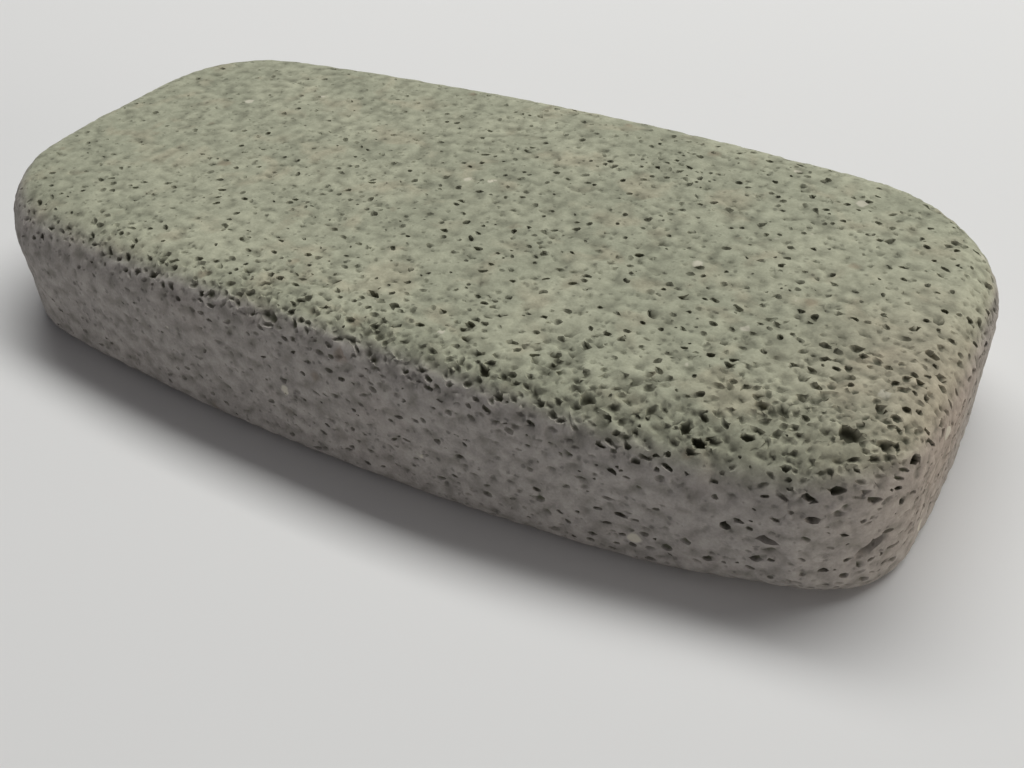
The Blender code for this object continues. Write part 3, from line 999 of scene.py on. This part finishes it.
# Where each triangle's corners lie on the square that the finish is baked to: the top as it is, the wall
# in strips above it, and the base at half size in the last corner.
def bakeCorners(cornerPlaces, cornerCharts):
    span, gap = bake["span"], bake["gap"]
    uv = np.zeros(cornerPlaces.shape)
    onTop, onWall, onBase = (cornerCharts == index for index in (topChart, wallChart, baseChart))
    uv[onTop] = cornerPlaces[onTop] + [span / 2, halfWidth + gap]
    around, down = np.moveaxis(cornerPlaces[onWall], -1, 0)
    strip = np.floor(around.mean(axis=1, keepdims=True) / (girth / bake["strips"]))
    acrossWall = around - strip * girth / bake["strips"] + 2 * gap
    upWall = 2 * halfWidth + 2 * gap + strip * (wallSpan + gap) + down
    uv[onWall] = np.stack([acrossWall, upWall], axis=-1)
    uv[onBase] = cornerPlaces[onBase] / 2 + [span / 2, span - halfWidth / 2 - gap]
    return uv / span


def buildStone():
    pits, bowlCount = scatterPits()
    chart, u, v, triangles, cornerPlaces, cornerCharts = joinCharts(pits, bowlCount)
    places, ways = surfaceAt(chart, u, v)
    carved, shares = carve(pits, places, ways)
    mesh = bpy.data.meshes.new("pumiceBar")
    mesh.vertices.add(len(carved))
    mesh.vertices.foreach_set("co", (carved * millimetre).ravel())
    mesh.loops.add(triangles.size)
    mesh.loops.foreach_set("vertex_index", triangles.ravel())
    mesh.polygons.add(len(triangles))
    mesh.polygons.foreach_set("loop_start", np.arange(len(triangles)) * 3)
    for name, values in shares.items():
        mesh.attributes.new(name, "FLOAT", "POINT").data.foreach_set("value", values.astype(np.float32))
    corners = bakeCorners(cornerPlaces, cornerCharts)
    mesh.uv_layers.new(name="OFBake").data.foreach_set("uv", corners.ravel())
    mesh.update(calc_edges=True)
    mesh.validate()
    print("edges more than a closed mesh has:", len(mesh.edges) - triangles.size // 2)
    mesh.shade_smooth()
    mesh.set_sharp_from_angle(angle=math.radians(meshing["sharpAngle"]))
    stone = bpy.data.objects.new("pumiceBar", mesh)
    bpy.context.scene.collection.objects.link(stone)
    print("stone:", len(carved), "vertices,", len(triangles), "triangles")
    return stone


finish = {
    "paleGreen": (0.395, 0.400, 0.301, 1),
    "deepGreen": (0.334, 0.343, 0.258, 1),
    "warm": (0.39, 0.355, 0.26, 1),
    # The walls' colour: partly the sides' own greyer tone, partly their shade's pinkish tint painted in.
    "wall": (0.335, 0.308, 0.300, 1),
    # The warm corner's colour: partly a stain, partly painted warm light.
    "corner": (0.40, 0.315, 0.245, 1),
    # Painted shade: the dark colour laid into the pits and the fine waves' valleys.
    "paintedShade": (0.100, 0.100, 0.072, 1),
    "grain": (0.61, 0.58, 0.48, 1),
    "rust": (0.22, 0.15, 0.10, 1),
    "cornerPlace": (50.0, -9.0, 11.0),  # the warm corner, its reach and how strong its warmth is: partly a stain, partly painted warm light
    "cornerReach": 10.0,
    "cornerStainAndLight": 0.55,
    "wallShare": 0.8,  # how much of the wall's colour shows on the wall
    "paintedShadeRamp": (0.05, 0.75),
    # The pores' painted shade.
    "poreShade": 0.32,
    # The crests' painted highlight, and the valleys' painted shade.
    "paintedCrestLight": 0.18,
    "roughness": 0.95,
    "specular": 0.2,
    "patterns": {  # noises: how many to the millimetre, detail and roughness, then how they are mapped
        "greens": {"noise": (0.10, 3, 0.6), "ramp": (0.35, 0.65)},
        "warms": {"noise": (0.22, 2, 0.5, 0.5), "ramp": (0.52, 0.72, 0, 0.5)},
        "middle": {"noise": (0.9, 3, 0.6), "ramp": (0.3, 0.7, 0.86, 1.12)},
        "small": {"noise": (4.5, 2, 0.6), "ramp": (0.25, 0.75, -0.07, 0.07)},
    },
    "cells": {"perMillimetre": 0.42, "shake": (0.9, 0.9)},  # the grains' and rusts' cells
    "poreCells": {"perMillimetre": 1.5, "shake": (2.0, 0.35)},
    "pores": {"sizes": (0.3, 1.0, 0.0, 0.36), "edge": (-0.08, 0.2)},  # spots: how size and edge are mapped
    "grains": {"sizes": (0.90, 1.0, -0.1, 0.26), "edge": (-0.03, 0.06, 0, 0.75)},
    "rusts": {"sizes": (0.90, 1.0, -0.1, 0.32), "edge": (-0.08, 0.15, 0, 0.4)},
    "bump": {"middle": 0.6, "small": 0.25, "pores": 0.5, "strength": 0.5, "depth": 0.15},
}


class Nodes:
    # A few short ways to add and join shader nodes.
    def __init__(self, material):
        material.use_nodes = True
        self.tree = material.node_tree
        self.shader = self.tree.nodes["Principled BSDF"]
        self.place = self.add("ShaderNodeTexCoord").outputs["Object"]

    def add(self, kind, **values):
        node = self.tree.nodes.new(kind)
        for name, value in values.items():
            setattr(node, name, value)
        return node

    def join(self, node, socket, value):
        if isinstance(value, bpy.types.NodeSocket):
            self.tree.links.new(value, node.inputs[socket])
        else:
            node.inputs[socket].default_value = value

    def noise(self, perMillimetre, detail=2.0, roughness=0.5, distortion=0.0):
        node = self.add("ShaderNodeTexNoise")
        self.join(node, "Vector", self.place)
        self.join(node, "Scale", perMillimetre / millimetre)
        self.join(node, "Detail", detail)
        self.join(node, "Roughness", roughness)
        self.join(node, "Distortion", distortion)
        return node

    def ramp(self, value, low, high, lowOut=0.0, highOut=1.0):
        node = self.add("ShaderNodeMapRange", interpolation_type="SMOOTHSTEP")
        self.join(node, "Value", value)
        self.join(node, "From Min", low)
        self.join(node, "From Max", high)
        self.join(node, "To Min", lowOut)
        self.join(node, "To Max", highOut)
        return node.outputs["Result"]

    def maths(self, kind, one, two):  # the kind is ADD, SUBTRACT or MULTIPLY
        node = self.add("ShaderNodeMath", operation=kind)
        self.join(node, 0, one)
        self.join(node, 1, two)
        return node.outputs[0]

    def mix(self, share, one, two, kind="MIX"):
        node = self.add("ShaderNodeMix", data_type="RGBA", blend_type=kind)
        self.join(node, 0, share)
        self.join(node, 6, one)
        self.join(node, 7, two)
        return node.outputs[2]

    # The cells of a pattern, on places moved by noise, up to half its reach in millimetres: the distance
    # to each cell's middle, and two random values of the cell.
    def cells(self, perMillimetre, shake):
        shakes, reach = shake
        shift = self.add("ShaderNodeVectorMath", operation="MULTIPLY_ADD")
        self.join(shift, 0, self.noise(shakes).outputs["Color"])
        self.join(shift, 1, (reach * millimetre,) * 3)
        self.join(shift, 2, self.place)
        node = self.add("ShaderNodeTexVoronoi")
        self.join(node, "Vector", shift.outputs[0])
        self.join(node, "Scale", perMillimetre / millimetre)
        values = self.add("ShaderNodeSeparateColor")
        self.join(values, 0, node.outputs["Color"])
        return node.outputs["Distance"], values.outputs[0], values.outputs[1]

    # Spots in cells: where a cell's random value gives its spot a size, less the distance to its middle.
    def spots(self, kind, distance, value):
        size = self.ramp(value, *kind["sizes"])
        return self.ramp(self.maths("SUBTRACT", size, distance), *kind["edge"])

    def attribute(self, name):
        return self.add("ShaderNodeAttribute", attribute_name=name).outputs["Fac"]


# The stone's ground colour: two greens, warm clouds, the walls' colour, which is partly their own greyer
# tone and partly their shade's pinkish tint painted in, and the warm corner, partly a stain and partly
# painted warm light.
def groundColour(nodes, mapped):
    colour = nodes.mix(mapped["greens"], finish["deepGreen"], finish["paleGreen"])
    colour = nodes.mix(mapped["warms"], colour, finish["warm"])
    # The walls' colour: partly their own greyer tone, partly their shade's pinkish tint painted in.
    wallShare = nodes.maths("MULTIPLY", nodes.attribute("upright"), finish["wallShare"])
    colour = nodes.mix(wallShare, colour, finish["wall"])
    # The warm corner: partly a stain, partly painted warm light.
    return nodes.mix(nodes.attribute("stainAndWarmLight"), colour, finish["corner"])


# How light the ground is: the two finer noises, less the pores' painted shade, and a painted highlight on
# the crests over a painted shade in the valleys.
def groundLightness(nodes, mapped, pores):
    lightness = nodes.maths("ADD", mapped["middle"], mapped["small"])
    lightness = nodes.maths("SUBTRACT", lightness, nodes.maths("MULTIPLY", pores, finish["poreShade"]))
    crest = nodes.maths("MULTIPLY", nodes.attribute("crest"), finish["paintedCrestLight"])
    return nodes.maths("ADD", lightness, nodes.maths("SUBTRACT", crest, finish["paintedCrestLight"] / 2))


# Joins the bump's height: shares of the two finer noises, less the pores.
def addBump(nodes, noises, pores):
    shares = finish["bump"]
    middle, small = (nodes.maths("MULTIPLY", noises[name], shares[name]) for name in ("middle", "small"))
    height = nodes.maths("ADD", middle, small)
    height = nodes.maths("SUBTRACT", height, nodes.maths("MULTIPLY", pores, shares["pores"]))
    bump = nodes.add("ShaderNodeBump")
    nodes.join(bump, "Height", height)
    nodes.join(bump, "Strength", shares["strength"])
    nodes.join(bump, "Distance", shares["depth"] * millimetre)
    nodes.join(nodes.shader, "Normal", bump.outputs[0])


def makeFinish():
    material = bpy.data.materials.new("pumice")
    nodes = Nodes(material)
    noises = {name: nodes.noise(*kind["noise"]).outputs["Fac"] for name, kind in finish["patterns"].items()}
    mapped = {name: nodes.ramp(noises[name], *kind["ramp"]) for name, kind in finish["patterns"].items()}
    # Pores: small spots of painted shade, with a bump.
    poreDistance, poreValue, _ = nodes.cells(**finish["poreCells"])
    pores = nodes.spots(finish["pores"], poreDistance, poreValue)

    brightness = nodes.add("ShaderNodeCombineColor")
    lightness = groundLightness(nodes, mapped, pores)
    for channel in range(3):
        nodes.join(brightness, channel, lightness)
    colour = nodes.mix(1.0, groundColour(nodes, mapped), brightness.outputs[0], "MULTIPLY")

    distance, grainValue, rustValue = nodes.cells(**finish["cells"])
    colour = nodes.mix(nodes.spots(finish["grains"], distance, grainValue), colour, finish["grain"])
    colour = nodes.mix(nodes.spots(finish["rusts"], distance, rustValue), colour, finish["rust"])
    # The painted shade, darkest in the deepest pits.
    paintedShade = nodes.ramp(nodes.attribute("paintedShade"), *finish["paintedShadeRamp"])
    nodes.join(nodes.shader, "Base Color", nodes.mix(paintedShade, colour, finish["paintedShade"]))
    nodes.join(nodes.shader, "Roughness", finish["roughness"])
    nodes.join(nodes.shader, "Specular IOR Level", finish["specular"])
    addBump(nodes, noises, pores)
    print("finish:", len(nodes.tree.nodes), "nodes")
    return material


stone = buildStone()
stone.data.materials.append(makeFinish())
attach(stone, "root")
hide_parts("pumice_stone")


table = {"size": 1.1, "sides": 96, "colour": (0.75, 0.75, 0.755, 1), "roughness": 0.9}


# The floor: a round table top whose height is the base's, with its edge's places at equal angles.
def makeFloor():
    count = table["sides"]
    angles = np.arange(count) / count * fullTurn
    ring = np.column_stack([np.cos(angles), np.sin(angles), np.zeros(count)]) * table["size"] / 2
    mesh = bpy.data.meshes.new("paleTable")
    mesh.from_pydata(ring.tolist(), [], [list(range(count))])
    material = bpy.data.materials.new("paleTable")
    nodes = Nodes(material)
    nodes.join(nodes.shader, "Base Color", table["colour"])
    nodes.join(nodes.shader, "Roughness", table["roughness"])
    floor = bpy.data.objects.new("paleTable", mesh)
    mesh.materials.append(material)
    bpy.context.scene.collection.objects.link(floor)


lights = {  # size is across and up, in metres
    "window": {
        "place": (-0.04, 0.29, 0.59),
        "aim": (-0.04, 0, 0.007),
        "size": (0.90, 0.21),
        "watts": 4.6,
        "colour": (1.0, 1.0, 0.97),
    },
    "ceiling": {
        "place": (0.15, 0.15, 0.8),
        "aim": (0, 0, 0.007),
        "size": (0.6, 0.5),
        "watts": 0.3,
        "colour": (1.0, 1.0, 0.98),
    },
    "doorway": {
        "place": (0.6, 0.04, 0.08),
        "aim": (0, 0, 0.007),
        "size": (0.3, 0.14),
        "watts": 0.95,
        "colour": (1.0, 0.93, 0.84),
    },
    "room": {
        "place": (-0.12, -0.7, 0.075),
        "aim": (0, 0, 0.007),
        "size": (0.9, 0.13),
        "watts": 0.75,
        "colour": (1.0, 0.96, 0.98),
    },
}
# The sky lights the room faintly, and past the floor a pale wall shows in its place.
sky = {"colour": (0.97, 0.95, 1.0, 1), "strength": 0.065, "wallColour": (0.66, 0.66, 0.655, 1)}


# The turn that points a lamp from its place to its aim.
def aimed(place, aim):
    return (Vector(place) - Vector(aim)).to_track_quat("Z", "Y").to_matrix().to_4x4()


def makeSky():
    world = bpy.data.worlds.new("softRoom")
    world.use_nodes = True
    nodes, links = world.node_tree.nodes, world.node_tree.links
    light = nodes["Background"]
    light.inputs["Color"].default_value = sky["colour"]
    light.inputs["Strength"].default_value = sky["strength"]
    wall = nodes.new("ShaderNodeBackground")
    wall.inputs["Color"].default_value = sky["wallColour"]
    either = nodes.new("ShaderNodeMixShader")
    links.new(nodes.new("ShaderNodeLightPath").outputs["Is Camera Ray"], either.inputs[0])
    links.new(light.outputs[0], either.inputs[1])
    links.new(wall.outputs[0], either.inputs[2])
    links.new(either.outputs[0], nodes["World Output"].inputs["Surface"])
    bpy.context.scene.world = world


def makeLights():
    for name, values in lights.items():
        light = bpy.data.lights.new(name, "AREA")
        light.shape = "RECTANGLE"
        light.size, light.size_y = values["size"]
        light.energy = values["watts"]
        light.color = values["colour"]
        lamp = bpy.data.objects.new(name, light)
        lamp.matrix_world = Matrix.Translation(values["place"]) @ aimed(values["place"], values["aim"])
        bpy.context.scene.collection.objects.link(lamp)
    print("lights:", len(lights))


view = {
    "turn": 32.258,  # degrees about the upright, from looking along +Y
    "height": 38.574,
    "lean": -3.139,
    "aim": (0.01820, -0.02074, 0.012),
    "distance": 0.08514,
    "lens": 37.73,
    "sensor": 36,
    "clip": (0.005, 20),
}


# The camera, at a distance from its aim in the direction of its turn and height, leaning about its own
# axis.
def makeCamera():
    camera = bpy.data.cameras.new("view")
    camera.lens = view["lens"]
    camera.sensor_width = view["sensor"]
    camera.clip_start, camera.clip_end = view["clip"]
    turn, height, lean = (math.radians(view[name]) for name in ("turn", "height", "lean"))
    level = math.cos(height)
    back = Vector((math.sin(turn) * level, -math.cos(turn) * level, math.sin(height)))
    right = Vector((0, 0, 1)).cross(back).normalized()
    up = back.cross(right)
    leanRight = math.cos(lean) * right + math.sin(lean) * up
    leanUp = math.cos(lean) * up - math.sin(lean) * right
    place = Vector(view["aim"]) + back * view["distance"]
    eye = bpy.data.objects.new("view", camera)
    eye.matrix_world = Matrix.Translation(place) @ Matrix((leanRight, leanUp, back)).transposed().to_4x4()
    bpy.context.scene.collection.objects.link(eye)
    bpy.context.scene.camera = eye


makeFloor()
makeLights()
makeSky()
makeCamera()
bpy.context.scene.view_settings.view_transform = "Standard"
